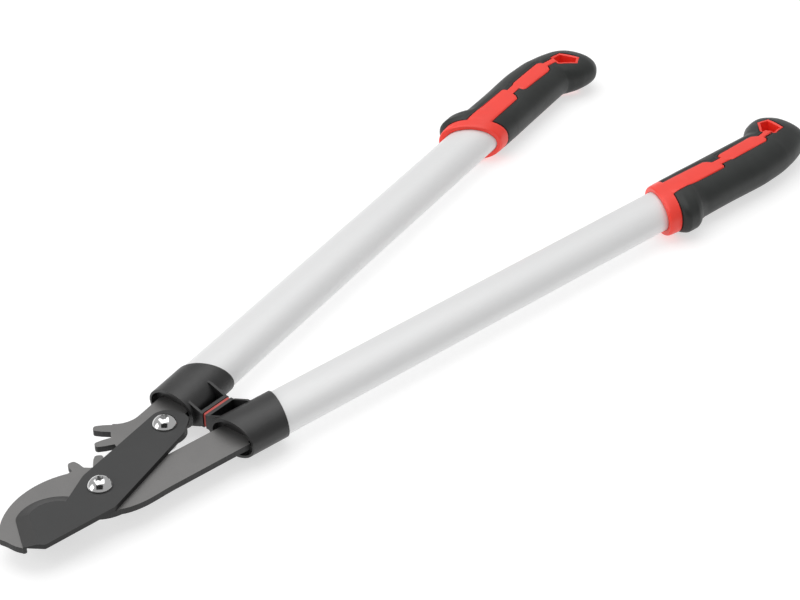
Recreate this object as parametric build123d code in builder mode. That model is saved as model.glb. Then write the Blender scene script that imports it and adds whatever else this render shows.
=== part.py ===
"""Geared bypass lopper: two long handles, a hooked lever, a geared lever and a bypass blade.

Row frame: the origin is on the main pivot's axis, at the middle of the steel levers' thickness.
+X runs back from the main pivot towards the grips, along the line that mirrors the two handles.
+Y points to the geared lever's handle, and +Z up, out of the blade's face.  The tool is closed.
Lengths are millimetres and angles are degrees.
"""

import math
import os

from build123d import *

os.makedirs("parts", exist_ok=True)

# --- head: pivots and gear mesh -------------------------------------------------------------
PIVOT_SPACING = 69.0  # main pivot to gear pivot
PIVOT_DIRECTION = 10.4  # of the gear pivot, seen from the main pivot
HOOK_PITCH_RADIUS = 30.2
HOOK_TOOTH_PITCH = 29.5  # degrees from tooth to tooth
HOOK_TOOTH_PHASE = 7.3  # first hook tooth, ahead of the line of centres
HOOK_ADDENDUM = 4.4  # tooth height above the pitch line
GEAR_ADDENDUM = 5.6
TOOTH_BACKLASH = 2.2  # sideways play between two flanks, at the pitch line
ROOT_CLEARANCE = 1.2  # tooth tip to the root it rolls over
TOOTH_TIP_RATIO = 0.68  # tip width over width at the pitch line
TOOTH_ROOT_RATIO = 1.16  # root width over width at the pitch line

# --- head: plates ---------------------------------------------------------------------------
LEVER_THICKNESS = 4.0
BLADE_THICKNESS = 3.2
SLIDING_GAP = 0.1  # between a lever's face and what slides on it
LEVER_WIDTH = 24.0  # of the tangs in the tubes
HOOK_LEVER_OUTER = 14.2  # hooked lever's outer edge from its tube's axis, ahead of the collar
HOOK_BAR_STARTS = (-92.0, -98.0)  # where its bar begins along its tube, outer and inner side
HOOK_CROWN_CORNER = (8.0, 26.0)  # inner corner beside the gear teeth
LEVER_SHOULDER = -33.5  # where it narrows to the tang, along the tube
BOSS_RADIUS = 13.5  # geared lever, round its pivot
GEAR_BAR_START = -48.0  # where its bar begins, along the tube
GEAR_FRONT_CORNER = (62.0, -0.6)  # where its rim turns back to the bar
GEAR_RIM_PAST_TOOTH = 5.5  # degrees of rim beyond the last tooth
GEAR_SHOULDER = ((66.0, 34.5), (59.5, 35.4), (55.0, 37.8), (51.6, 41.6))
HOOK_BACK_RADIUS = 52.9  # outer curve of the hook
HOOK_BACK_CENTRE = (-26.8, -18.9)
HOOK_BACK_ANGLES = (60.5, 141.0)
HOOK_NOSE = ((-67.7, 9.6), (-67.4, 3.4), (-66.0, -2.6))
HOOK_HEEL = ((-12.0, -16.6), (-6.0, -22.3), (1.5, -26.5), (11.5, -29.1))
HOOK_TIP = ((-64.8, -4.3), (-62.9, -2.9))
CUT_RADIUS = 24.5  # cutting edge
CUT_CENTRE = (-37.8, -1.7)
CUT_ANGLES = (24.0, 121.0)
CUT_TIP = (-65.8, -3.6)
BITE_OVERLAP = 3.0  # blade over hook when closed
BITE_END_ANGLE = -22.0
BEVEL_WIDTH = 8.0
BEVEL_LIMITS = (-12.0, -3.0)  # the bevel stays ahead of this x, and above this y
EDGE_LAND = 0.3  # height of the cutting edge left below the bevel
BLADE_BACK = ((-58.5, -14.6), (-9.0, -21.6))  # straight back edge, from the tip
BLADE_END = ((69.0, -3.0), (84.0, 6.0), (80.0, 26.4))  # corners round the gear pivot
BLADE_SHOULDER = (0.5, 14.9)
BLADE_CORNER_RADII = (2.0, 9.0, 12.0, 9.0, 11.0, 14.0, 9.0)  # from the tip round to the cutting edge

# --- head: bolts, bushes, washers and nuts --------------------------------------------------
BOLT_RADIUS = 4.0
BOLT_HOLE_CLEARANCE = 0.1
BUSH_RADIUS = 6.0
BUSH_RUNNING_CLEARANCE = 0.05
HEAD_RADIUS = 7.8
HEAD_RIM = 0.8
HEAD_DOME = 4.9
DRIVE_DEPTH = 2.6
HEX_DRIVE_FLATS = 5.0
STAR_DRIVE_RADIUS = 3.1
WASHER_RADIUS = 8.5
WASHER_THICKNESS = 1.6
NUT_FLATS = 13.0
NUT_HEX_HEIGHT = 5.4
NUT_NECK_HEIGHT = 2.2
NUT_NECK_RADIUS = 6.1
LOCK_RING_HEIGHT = 1.7
LOCK_RING_RADIUS = 5.2
THREAD_GAP = 0.05
BOLT_PAST_NUT = 0.9

# --- handles --------------------------------------------------------------------------------
HANDLE_ANGLE = 8.58  # each tube from +X, closed
COLLAR_REAR = (122.9, 30.8)  # tube axis at the collar's rear rim
TUBE_HALF_WIDTH = 17.6
TUBE_HALF_HEIGHT = 11.1
TUBE_WALL = 1.5
TUBE_START = -24.0  # from the collar's rear rim, along the tube
TUBE_END = 462.0
FIT = 0.1  # gap round a tube in what is pushed on it

COLLAR_WALL = (0.7, 1.2)  # beside and above the tube's seat
COLLAR_NOSE_X = 86.5  # front lip, closed
COLLAR_FACE_X = 91.5  # recessed front face
COLLAR_LIP = 2.0
COLLAR_REAR_SLANT = 0.324  # rim's rise along the tube per millimetre across it
COLLAR_BLANK = (-60.0, 20.0)  # along the tube, past the collar's nose and rear rim
TANG_GAP = 0.15

BUMPER_START_X = 89.5
BUMPER_END_X = 113.5
BUMPER_HALF_HEIGHT = 5.5
BUMPER_CORNER = 1.0
BUMPER_PLATE = 2.6
BUMPER_FIN = 1.8
BUMPER_FLOOR = 1.8  # under the pocket behind the plate
BUMPER_FIN_RISE = (14.0, 9.8)  # where a fin's sloping edge meets the barrel, from the plate's face
PAD_THICKNESS = 2.2
PAD_MARGIN = 0.8
PAD_GAP = 0.3  # left to the other handle's bumper plate

TANG_END = 30.0
TANG_CORE_END = 26.0
PIN_RADIUS = 2.5
PIN_CLEARANCE = 0.05
PIN_PLACES = (-17.0, -5.0)
PIN_SHORT = 0.4  # pin end below the tube's crown

# Grip places are along the tube from its end, negative on the tube.
GRIP_BLANK_START = -162.0  # ahead of the grip
GRIP_BLANK_HALF_HEIGHT = 30.0  # above and below the grip
GRIP_FRONT = -115.5  # front rim on the tube axis
GRIP_FRONT_SLANT = 0.455
RING_WIDTH = 11.0
CORE_WALL = 1.6
CORE_PLUG = (13.0, 9.5)  # half width and half height of the solid end, past the tube
CORE_PLUG_SHIFT = -5.0
CORE_PLUG_END = 14.0
STRIP_FLOOR = 9.0  # strips rise from this height, out of the core
STRIP = (
    (-122.0, 7.2), (-53.0, 7.2), (-52.5, 3.0), (-43.0, 3.2), (-40.0, 4.6), (-2.5, 3.6),
    (-1.0, -0.8), (12.0, -3.0), (12.0, -9.0), (2.0, -6.0), (-4.0, -5.2), (-8.5, -9.4),
    (-44.5, -7.6), (-45.5, -3.2), (-55.5, -3.4), (-60.5, -9.4), (-112.0, -9.6), (-122.0, -9.6),
)
HANG_HOLE = ((7.8, -10.0), (12.6, -2.6), (21.4, -4.2), (23.2, -17.4), (17.0, -19.6))
HANG_FRAME = 1.8

# Grip sections: place, and how far the outer side, inner side and top stand past the tube's.
GRIP_SECTIONS = (
    (-136.0, 4.4, 3.4, 2.7),
    (-118.0, 6.4, 3.4, 3.3),
    (-112.0, 9.8, 3.5, 3.7),
    (-105.0, 11.2, 3.6, 3.9),
    (-99.0, 9.6, 3.7, 3.7),
    (-91.0, 5.0, 3.8, 3.3),
    (-84.0, 4.4, 3.8, 3.1),
    (-62.0, 4.6, 3.8, 3.1),
    (-26.0, 5.2, 3.8, 3.3),
    (-2.0, 3.2, 4.2, 3.1),
    (12.0, 0.6, 11.9, 2.5),
    (25.0, -3.6, 15.4, 1.5),
    (35.0, -9.1, 11.2, -1.5),
    (41.0, -16.6, 1.9, -7.1),
)

# --- worked out from the sizes above ----------------------------------------------------------
GEAR_PITCH_RADIUS = PIVOT_SPACING - HOOK_PITCH_RADIUS
GEAR_RATIO = HOOK_PITCH_RADIUS / GEAR_PITCH_RADIUS  # geared lever's turn over the blade's turn
CIRCULAR_PITCH = HOOK_PITCH_RADIUS * math.radians(HOOK_TOOTH_PITCH)
TOOTH_WIDTH = (CIRCULAR_PITCH - TOOTH_BACKLASH) / 2
HOOK_TIP_RADIUS = HOOK_PITCH_RADIUS + HOOK_ADDENDUM
GEAR_TIP_RADIUS = GEAR_PITCH_RADIUS + GEAR_ADDENDUM
HOOK_ROOT_RADIUS = PIVOT_SPACING - GEAR_TIP_RADIUS - ROOT_CLEARANCE
GEAR_ROOT_RADIUS = PIVOT_SPACING - HOOK_TIP_RADIUS - ROOT_CLEARANCE
HOOK_TEETH = [PIVOT_DIRECTION + HOOK_TOOTH_PHASE + k * HOOK_TOOTH_PITCH for k in (-1, 0, 1, 2)]
GEAR_TEETH = [
    180 + PIVOT_DIRECTION - (HOOK_TOOTH_PHASE + (k + 0.5) * HOOK_TOOTH_PITCH) * GEAR_RATIO
    for k in (-1, 0, 1, 2)
]
LEVER_TOP = LEVER_THICKNESS / 2
BLADE_BOTTOM = LEVER_TOP + SLIDING_GAP
BLADE_TOP = BLADE_BOTTOM + BLADE_THICKNESS
WASHER_TOP = -BLADE_BOTTOM
NUT_TOP = WASHER_TOP - WASHER_THICKNESS
NUT_NECK_TOP = NUT_TOP - NUT_HEX_HEIGHT
NUT_END = NUT_NECK_TOP - NUT_NECK_HEIGHT
BUMPER_FACE_Y = (PAD_THICKNESS + PAD_GAP) / 2
TUBE_SEAT = (TUBE_HALF_WIDTH + FIT, TUBE_HALF_HEIGHT + FIT)
COLLAR_HALF_WIDTH = TUBE_SEAT[0] + COLLAR_WALL[0]
COLLAR_HALF_HEIGHT = TUBE_SEAT[1] + COLLAR_WALL[1]
TUBE_BORE = (TUBE_HALF_WIDTH - TUBE_WALL, TUBE_HALF_HEIGHT - TUBE_WALL)
COS, SIN = math.cos(math.radians(HANDLE_ANGLE)), math.sin(math.radians(HANDLE_ANGLE))


def polar(radius, angle, centre=(0.0, 0.0)):
    """Point at a radius and an angle from a centre."""
    turn = math.radians(angle)
    return (centre[0] + radius * math.cos(turn), centre[1] + radius * math.sin(turn))


GEAR_PIVOT = polar(PIVOT_SPACING, PIVOT_DIRECTION)
PIVOTS = ((0.0, 0.0), GEAR_PIVOT)

# Handle frames: x along the tube from the collar's rear rim, z up.  The geared lever's
# handle has y outwards, and the hooked lever's handle has y inwards.
HANDLE = Plane(origin=(*COLLAR_REAR, 0), x_dir=(COS, SIN, 0), z_dir=(0, 0, 1))
HOOK_HANDLE = Plane(origin=(COLLAR_REAR[0], -COLLAR_REAR[1], 0), x_dir=(COS, -SIN, 0), z_dir=(0, 0, 1))

# Grip frame: as the handle's, from the tube's end.
GRIP = Plane(origin=HANDLE.from_local_coords((TUBE_END, 0, 0)), x_dir=HANDLE.x_dir, z_dir=HANDLE.z_dir)


def across(distance):
    """Plane across the geared lever's tube: local x outwards, local y up."""
    origin = HANDLE.from_local_coords((distance, 0, 0))
    return Plane(origin=origin, x_dir=(-SIN, COS, 0), z_dir=(COS, SIN, 0))


def slanted(distance, slant):
    """Plane that cuts the tube at a distance, and comes forward on the outer side."""
    origin = HANDLE.from_local_coords((distance, 0, 0))
    length = math.hypot(1, slant)
    normal = (COS - slant * SIN) / length, (SIN + slant * COS) / length
    return Plane(origin=origin, x_dir=(-normal[1], normal[0], 0), z_dir=(*normal, 0))


def upright(place):
    """Upright plane through a pivot's axis, for turned parts: local y is the height."""
    return Plane(origin=(*place, 0), x_dir=(1, 0, 0), z_dir=(0, -1, 0))


def add_teeth(centre, angles, root, pitch, tip):
    """Add straight-flanked teeth with rounded tips to the sketch that is being built."""
    rows = ((root - 2.0, TOOTH_ROOT_RATIO), (pitch, 1.0), (tip, TOOTH_TIP_RATIO))
    for angle in angles:
        left = [(radius, TOOTH_WIDTH * share / 2) for radius, share in rows]
        right = [(radius, -half) for radius, half in reversed(left)]
        with Locations(Location((*centre, 0), (0, 0, angle))):
            with BuildSketch(mode=Mode.PRIVATE) as tooth:
                with BuildLine():
                    Polyline(*left, *right, close=True)
                make_face()
                fillet(tooth.vertices().group_by(Axis.X)[-1], TOOTH_WIDTH * TOOTH_TIP_RATIO * 0.47)
            add(tooth.sketch)


def round_corners(plan, corners):
    """Round corners of the sketch that is being built, given as places and radii."""
    for place, radius in corners:
        fillet(plan.vertices().sort_by_distance(Vector(*tuple(place)[:2]))[0], radius)


def hole_through(plane, places, radius, height):
    """Cut round holes, centred on a plane and as deep as the height, from the part."""
    with BuildSketch(plane.offset(-height / 2)) as holes:
        with Locations(*places):
            Circle(radius)
    extrude(holes.sketch, amount=height, mode=Mode.SUBTRACT)


def bolt(place, star):
    """Domed bolt with a thin rim, and a star or a hexagon drive."""
    end = NUT_END - BOLT_PAST_NUT
    with BuildPart() as piece:
        with BuildSketch(upright(place)):
            with BuildLine():
                rim = Polyline(
                    (0, end), (BOLT_RADIUS - 0.6, end), (BOLT_RADIUS, end + 0.6), (BOLT_RADIUS, BLADE_TOP),
                    (HEAD_RADIUS, BLADE_TOP), (HEAD_RADIUS, BLADE_TOP + HEAD_RIM),
                )
                crown = (0, BLADE_TOP + HEAD_RIM + HEAD_DOME)
                dome = ThreePointArc(
                    rim @ 1, (HEAD_RADIUS * 0.64, BLADE_TOP + HEAD_RIM + HEAD_DOME * 0.73), crown
                )
                Line(dome @ 1, rim @ 0)
            make_face()
        revolve(axis=Axis((*place, 0), (0, 0, 1)))
        with BuildSketch(Plane.XY.offset(crown[1] + DRIVE_DEPTH)):
            with Locations(place):
                if star:
                    RegularPolygon(STAR_DRIVE_RADIUS, 3)
                    RegularPolygon(STAR_DRIVE_RADIUS, 3, rotation=60)
                else:
                    RegularPolygon(HEX_DRIVE_FLATS / 2, 6, major_radius=False)
        extrude(amount=-2 * DRIVE_DEPTH, mode=Mode.SUBTRACT)
    return piece.part


# --- hooked lever: hook, gear teeth and lever in one plate -----------------------------------
with BuildPart() as hook_lever:
    with BuildSketch(Plane.XY.offset(-LEVER_TOP)):
        with BuildLine():
            start, stop = HOOK_BACK_ANGLES
            back = CenterArc(HOOK_BACK_CENTRE, HOOK_BACK_RADIUS, start, stop - start)
            Spline(back @ 1, *HOOK_NOSE, tangents=[back % 1, (0.5, -1)])
            point = ThreePointArc(HOOK_NOSE[-1], *HOOK_TIP)
            start, stop = CUT_ANGLES[1], BITE_END_ANGLE
            bite = CenterArc(CUT_CENTRE, CUT_RADIUS - BITE_OVERLAP, start, stop - start)
            Line(point @ 1, bite @ 0)
            bar = [
                HOOK_HANDLE.from_local_coords((along, side, 0))
                for along, side in (
                    (HOOK_BAR_STARTS[0], -HOOK_LEVER_OUTER), (LEVER_SHOULDER, -HOOK_LEVER_OUTER),
                    (LEVER_SHOULDER, LEVER_WIDTH / 2), (HOOK_BAR_STARTS[1], LEVER_WIDTH / 2),
                )
            ]
            Spline(bite @ 1, *HOOK_HEEL, bar[0], tangents=[bite % 1, (COS, -SIN)])
            Polyline(*bar, HOOK_CROWN_CORNER, back @ 0)
        make_face()
        Circle(HOOK_ROOT_RADIUS)
        add_teeth(PIVOTS[0], HOOK_TEETH, HOOK_ROOT_RADIUS, HOOK_PITCH_RADIUS, HOOK_TIP_RADIUS)
    extrude(amount=LEVER_THICKNESS)
    with BuildSketch(HOOK_HANDLE.offset(-LEVER_TOP)):
        with Locations(((TANG_END + LEVER_SHOULDER) / 2, 0)):
            Rectangle(TANG_END - LEVER_SHOULDER, LEVER_WIDTH)
    extrude(amount=LEVER_THICKNESS)
    hole_through(Plane.XY, [PIVOTS[0]], BUSH_RADIUS + BUSH_RUNNING_CLEARANCE, LEVER_THICKNESS)
    pin_places = [(place, 0) for place in PIN_PLACES]
    hole_through(HOOK_HANDLE, pin_places, PIN_RADIUS + PIN_CLEARANCE, LEVER_THICKNESS)

# --- geared lever: gear teeth and lever in one plate ------------------------------------------
with BuildPart() as gear_lever:
    with BuildSketch(Plane.XY.offset(-LEVER_TOP)):
        with BuildLine():
            start, stop = GEAR_TEETH[-1], GEAR_TEETH[0] + GEAR_RIM_PAST_TOOTH
            rim = CenterArc(GEAR_PIVOT, GEAR_ROOT_RADIUS, start, stop - start)
            bar = [
                HANDLE.from_local_coords((GEAR_BAR_START, side * LEVER_WIDTH / 2, 0))
                for side in (-1, 1)
            ]
            Polyline(rim @ 1, GEAR_FRONT_CORNER, *bar, GEAR_SHOULDER[0])
            Spline(*GEAR_SHOULDER)
            Line(GEAR_SHOULDER[-1], rim @ 0)
        make_face()
        with Locations(GEAR_PIVOT):
            Circle(BOSS_RADIUS)
        add_teeth(GEAR_PIVOT, GEAR_TEETH, GEAR_ROOT_RADIUS, GEAR_PITCH_RADIUS, GEAR_TIP_RADIUS)
    extrude(amount=LEVER_THICKNESS)
    with BuildSketch(HANDLE.offset(-LEVER_TOP)):
        with Locations(((TANG_END + GEAR_BAR_START) / 2, 0)):
            Rectangle(TANG_END - GEAR_BAR_START, LEVER_WIDTH)
    extrude(amount=LEVER_THICKNESS)
    hole_through(Plane.XY, [PIVOTS[1]], BUSH_RADIUS + BUSH_RUNNING_CLEARANCE, LEVER_THICKNESS)
    hole_through(HANDLE, pin_places, PIN_RADIUS + PIN_CLEARANCE, LEVER_THICKNESS)

# --- blade: carries both pivots, and shears past the hook's upper face -------------------------
with BuildPart() as cutting_blade:
    with BuildSketch(Plane.XY.offset(BLADE_BOTTOM)) as blade_plan:
        with BuildLine():
            start, stop = CUT_ANGLES
            cut = CenterArc(CUT_CENTRE, CUT_RADIUS, start, stop - start)
            Polyline(cut @ 1, CUT_TIP, *BLADE_BACK, *BLADE_END, BLADE_SHOULDER, cut @ 0)
        make_face()
        corners = (*BLADE_BACK, *BLADE_END, BLADE_SHOULDER, cut @ 1)
        round_corners(blade_plan, zip(corners, BLADE_CORNER_RADII))
    extrude(amount=BLADE_THICKNESS)
    top = cutting_blade.faces().sort_by(Axis.Z)[-1]
    bevelled = top.edges().filter_by(
        lambda edge: (edge @ 0.5).X < BEVEL_LIMITS[0] and (edge @ 0.5).Y > BEVEL_LIMITS[1]
    )
    chamfer(bevelled, BEVEL_WIDTH, BLADE_THICKNESS - EDGE_LAND, reference=top)
    hole_through(
        Plane.XY.offset(BLADE_BOTTOM + BLADE_THICKNESS / 2), PIVOTS, BOLT_RADIUS + BOLT_HOLE_CLEARANCE,
        BLADE_THICKNESS,
    )

# --- pivots: two different bolts, and bushes, washers, lock nuts and lock rings in pairs --------
main_bolt = bolt(PIVOTS[0], star=True)
gear_bolt = bolt(PIVOTS[1], star=False)

with BuildPart() as pivot_bushes:
    with BuildSketch(Plane.XY.offset(-BLADE_BOTTOM)):
        with Locations(*PIVOTS):
            Circle(BUSH_RADIUS)
            Circle(BOLT_RADIUS + BOLT_HOLE_CLEARANCE, mode=Mode.SUBTRACT)
    extrude(amount=2 * BLADE_BOTTOM)

with BuildPart() as pivot_washers:
    with BuildSketch(Plane.XY.offset(WASHER_TOP)):
        with Locations(*PIVOTS):
            Circle(WASHER_RADIUS)
            Circle(BOLT_RADIUS + BOLT_HOLE_CLEARANCE, mode=Mode.SUBTRACT)
    extrude(amount=-WASHER_THICKNESS)

with BuildPart() as lock_nuts:
    with BuildSketch(Plane.XY.offset(NUT_TOP)):
        with Locations(*PIVOTS):
            RegularPolygon(NUT_FLATS / 2, 6, major_radius=False)
    extrude(amount=-NUT_HEX_HEIGHT)
    with BuildSketch(Plane.XY.offset(NUT_NECK_TOP)):
        with Locations(*PIVOTS):
            Circle(NUT_NECK_RADIUS)
    extrude(amount=-NUT_NECK_HEIGHT)
    middle = Plane.XY.offset((NUT_TOP + NUT_END) / 2)
    hole_through(middle, PIVOTS, BOLT_RADIUS + THREAD_GAP, NUT_TOP - NUT_END)
    recess = Plane.XY.offset(NUT_END + LOCK_RING_HEIGHT / 2)
    hole_through(recess, PIVOTS, LOCK_RING_RADIUS + THREAD_GAP, LOCK_RING_HEIGHT)

with BuildPart() as lock_rings:
    with BuildSketch(Plane.XY.offset(NUT_END)):
        with Locations(*PIVOTS):
            Circle(LOCK_RING_RADIUS)
            Circle(BOLT_RADIUS + THREAD_GAP, mode=Mode.SUBTRACT)
    extrude(amount=LOCK_RING_HEIGHT)

# --- handle of the geared lever, mirrored for the hooked lever ----------------------------------
with BuildPart() as tube:
    with BuildSketch(across(TUBE_START)):
        Ellipse(TUBE_HALF_WIDTH, TUBE_HALF_HEIGHT)
        Ellipse(*TUBE_BORE, mode=Mode.SUBTRACT)
    extrude(amount=TUBE_END - TUBE_START)
    hole_through(HANDLE, pin_places, PIN_RADIUS + PIN_CLEARANCE, 4 * TUBE_HALF_HEIGHT)

with BuildPart() as tang_core:
    with BuildSketch(across(TUBE_START)):
        Ellipse(TUBE_BORE[0] - FIT, TUBE_BORE[1] - FIT)
        Rectangle(LEVER_WIDTH + 2 * TANG_GAP, LEVER_THICKNESS + 2 * TANG_GAP, mode=Mode.SUBTRACT)
    extrude(amount=TANG_CORE_END - TUBE_START)
    hole_through(HANDLE, pin_places, PIN_RADIUS + PIN_CLEARANCE, 4 * TUBE_HALF_HEIGHT)

with BuildPart() as tang_pins:
    pin_half = TUBE_HALF_HEIGHT - PIN_SHORT
    with BuildSketch(HANDLE.offset(-pin_half)):
        with Locations(*pin_places):
            Circle(PIN_RADIUS)
    extrude(amount=2 * pin_half)

with BuildPart() as collar:
    with BuildSketch(Plane.XZ.offset(-BUMPER_FACE_Y)):
        with Locations(((BUMPER_START_X + BUMPER_END_X) / 2, 0)):
            RectangleRounded(BUMPER_END_X - BUMPER_START_X, 2 * BUMPER_HALF_HEIGHT, BUMPER_CORNER)
    extrude(amount=-BUMPER_PLATE)
    near, far = BUMPER_FACE_Y + BUMPER_PLATE / 2, COLLAR_REAR[1] - BUMPER_PLATE
    for fin_x in (BUMPER_START_X, BUMPER_END_X - BUMPER_FIN):
        with BuildSketch(Plane.YZ.offset(fin_x)):
            with BuildLine():
                edge = Polyline(
                    (near, 0), (near, BUMPER_HALF_HEIGHT - BUMPER_CORNER),
                    (BUMPER_FACE_Y + BUMPER_PLATE, BUMPER_HALF_HEIGHT),
                    (BUMPER_FACE_Y + BUMPER_FIN_RISE[0], BUMPER_FIN_RISE[1]),
                    (far, BUMPER_FIN_RISE[1]), (far, 0),
                )
                mirror(edge, about=Plane.XZ)
            make_face()
        extrude(amount=BUMPER_FIN)
    with BuildSketch(Plane.XY.offset(-BUMPER_HALF_HEIGHT)):
        with Locations(((BUMPER_START_X + BUMPER_END_X) / 2, (near + far) / 2)):
            Rectangle(BUMPER_END_X - BUMPER_START_X - BUMPER_FIN, far - near)
    extrude(amount=BUMPER_FLOOR)
    with BuildSketch(across(COLLAR_BLANK[0])):
        Ellipse(COLLAR_HALF_WIDTH, COLLAR_HALF_HEIGHT)
    extrude(amount=COLLAR_BLANK[1] - COLLAR_BLANK[0])
    split(bisect_by=slanted(0, COLLAR_REAR_SLANT), keep=Keep.BOTTOM)
    split(bisect_by=Plane(origin=(COLLAR_NOSE_X, 0, 0), z_dir=(1, 0, 0)), keep=Keep.TOP)
    nose_y = COLLAR_REAR[1] + (COLLAR_FACE_X - COLLAR_REAR[0]) * SIN / COS
    with BuildSketch(Plane(origin=(COLLAR_FACE_X, nose_y, 0), x_dir=(0, -1, 0), z_dir=(-1, 0, 0))):
        Ellipse(COLLAR_HALF_WIDTH - COLLAR_LIP, COLLAR_HALF_HEIGHT - COLLAR_LIP)
    extrude(amount=COLLAR_FACE_X - COLLAR_NOSE_X + COLLAR_LIP, mode=Mode.SUBTRACT)
    with BuildSketch(across(COLLAR_BLANK[0])):
        Rectangle(LEVER_WIDTH + 2 * TANG_GAP, LEVER_THICKNESS + 2 * TANG_GAP)
    extrude(amount=TUBE_START - COLLAR_BLANK[0], mode=Mode.SUBTRACT)
    with BuildSketch(across(TUBE_START - FIT)):
        Ellipse(*TUBE_SEAT)
    extrude(amount=COLLAR_BLANK[1] - TUBE_START + FIT, mode=Mode.SUBTRACT)

with BuildPart() as grip_form:
    for place, outer, inner, top in GRIP_SECTIONS:
        with BuildSketch(across(TUBE_END + place)):
            with Locations(((outer - inner) / 2, 0)):
                Ellipse(TUBE_HALF_WIDTH + (outer + inner) / 2, TUBE_HALF_HEIGHT + top)
    loft(ruled=True)

with BuildPart() as grip_frame:
    with BuildSketch(GRIP.offset(-GRIP_BLANK_HALF_HEIGHT)):
        with BuildLine():
            Polyline(*HANG_HOLE, close=True)
        make_face()
        offset(amount=HANG_FRAME)
    extrude(amount=2 * GRIP_BLANK_HALF_HEIGHT)

with BuildPart() as grip_strips:
    for low in (STRIP_FLOOR, -GRIP_BLANK_HALF_HEIGHT):
        with BuildSketch(GRIP.offset(low)):
            with BuildLine():
                Polyline(*STRIP, close=True)
            make_face()
        extrude(amount=GRIP_BLANK_HALF_HEIGHT - STRIP_FLOOR)

with BuildPart() as core_body:
    with BuildSketch(across(TUBE_END + GRIP_BLANK_START)):
        Ellipse(TUBE_SEAT[0] + CORE_WALL, TUBE_SEAT[1] + CORE_WALL)
    extrude(amount=FIT + CORE_WALL - GRIP_BLANK_START)
    with BuildSketch(across(TUBE_END)):
        with Locations((CORE_PLUG_SHIFT, 0)):
            Ellipse(*CORE_PLUG)
    extrude(amount=CORE_PLUG_END)
    add(grip_frame.part)
    add(grip_strips.part)

hang_outline = make_face(Polyline(*HANG_HOLE, close=True).edges())
hang_space = extrude(GRIP.offset(-GRIP_BLANK_HALF_HEIGHT) * hang_outline, 2 * GRIP_BLANK_HALF_HEIGHT)
tube_space = extrude(
    across(TUBE_END + GRIP_BLANK_START) * Ellipse(*TUBE_SEAT), FIT - GRIP_BLANK_START
)

with BuildPart() as grip_core:
    add(grip_form.part)
    split(bisect_by=slanted(TUBE_END + GRIP_FRONT + RING_WIDTH, GRIP_FRONT_SLANT), keep=Keep.BOTTOM)
    add(core_body.part & grip_form.part)
    split(bisect_by=slanted(TUBE_END + GRIP_FRONT, GRIP_FRONT_SLANT), keep=Keep.TOP)
    add([tube_space, hang_space], mode=Mode.SUBTRACT)

with BuildPart() as grip_cover:
    add(grip_form.part)
    split(bisect_by=slanted(TUBE_END + GRIP_FRONT + RING_WIDTH, GRIP_FRONT_SLANT), keep=Keep.TOP)
    add([core_body.part, tube_space, hang_space], mode=Mode.SUBTRACT)

# --- elastic pad that the two handles close on --------------------------------------------------
with BuildPart() as bumper_pad:
    length = BUMPER_END_X - BUMPER_START_X - 2 * PAD_MARGIN
    with BuildSketch(Plane.XZ.offset(BUMPER_FACE_Y)):
        with Locations(((BUMPER_START_X + BUMPER_END_X) / 2, 0)):
            RectangleRounded(length, 2 * BUMPER_HALF_HEIGHT - PAD_MARGIN, BUMPER_CORNER)
    extrude(amount=-PAD_THICKNESS)

# --- names and files -----------------------------------------------------------------------------
pieces = {
    "hook_lever": hook_lever.part,
    "gear_lever": gear_lever.part,
    "cutting_blade": cutting_blade.part,
    "main_bolt": main_bolt,
    "gear_bolt": gear_bolt,
    "pivot_bushes": pivot_bushes.part,
    "pivot_washers": pivot_washers.part,
    "lock_nuts": lock_nuts.part,
    "lock_rings": lock_rings.part,
    "bumper_pad": bumper_pad.part,
}
handle_pieces = {
    "collar": collar.part,
    "tube": tube.part,
    "tang_core": tang_core.part,
    "tang_pins": tang_pins.part,
    "grip_core": grip_core.part,
    "grip_cover": grip_cover.part,
}
for name, piece in handle_pieces.items():
    pieces["upper_" + name] = piece
    pieces["lower_" + name] = mirror(piece, about=Plane.XZ)

for name, piece in pieces.items():
    piece.label = name
    export_step(piece, f"parts/{name}.step")
    print(f"{name}: {len(piece.solids())} solid(s), {piece.volume:.0f} mm3")
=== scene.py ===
"""Looks of a geared bypass lopper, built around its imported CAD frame.

The row frame is in metres.  X runs from the main pivot to the grips, Y to the geared lever's
handle and Z up, out of the blade's face.  GripForm and DomeBolt hold their sizes in
millimetres, and so do the finishes' depths of relief.  Every other length is in metres.
"""

import logging
import math
from dataclasses import dataclass, field
from enum import Enum
from typing import Any

import bpy
import numpy as np
from mathutils import Matrix, Vector


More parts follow.
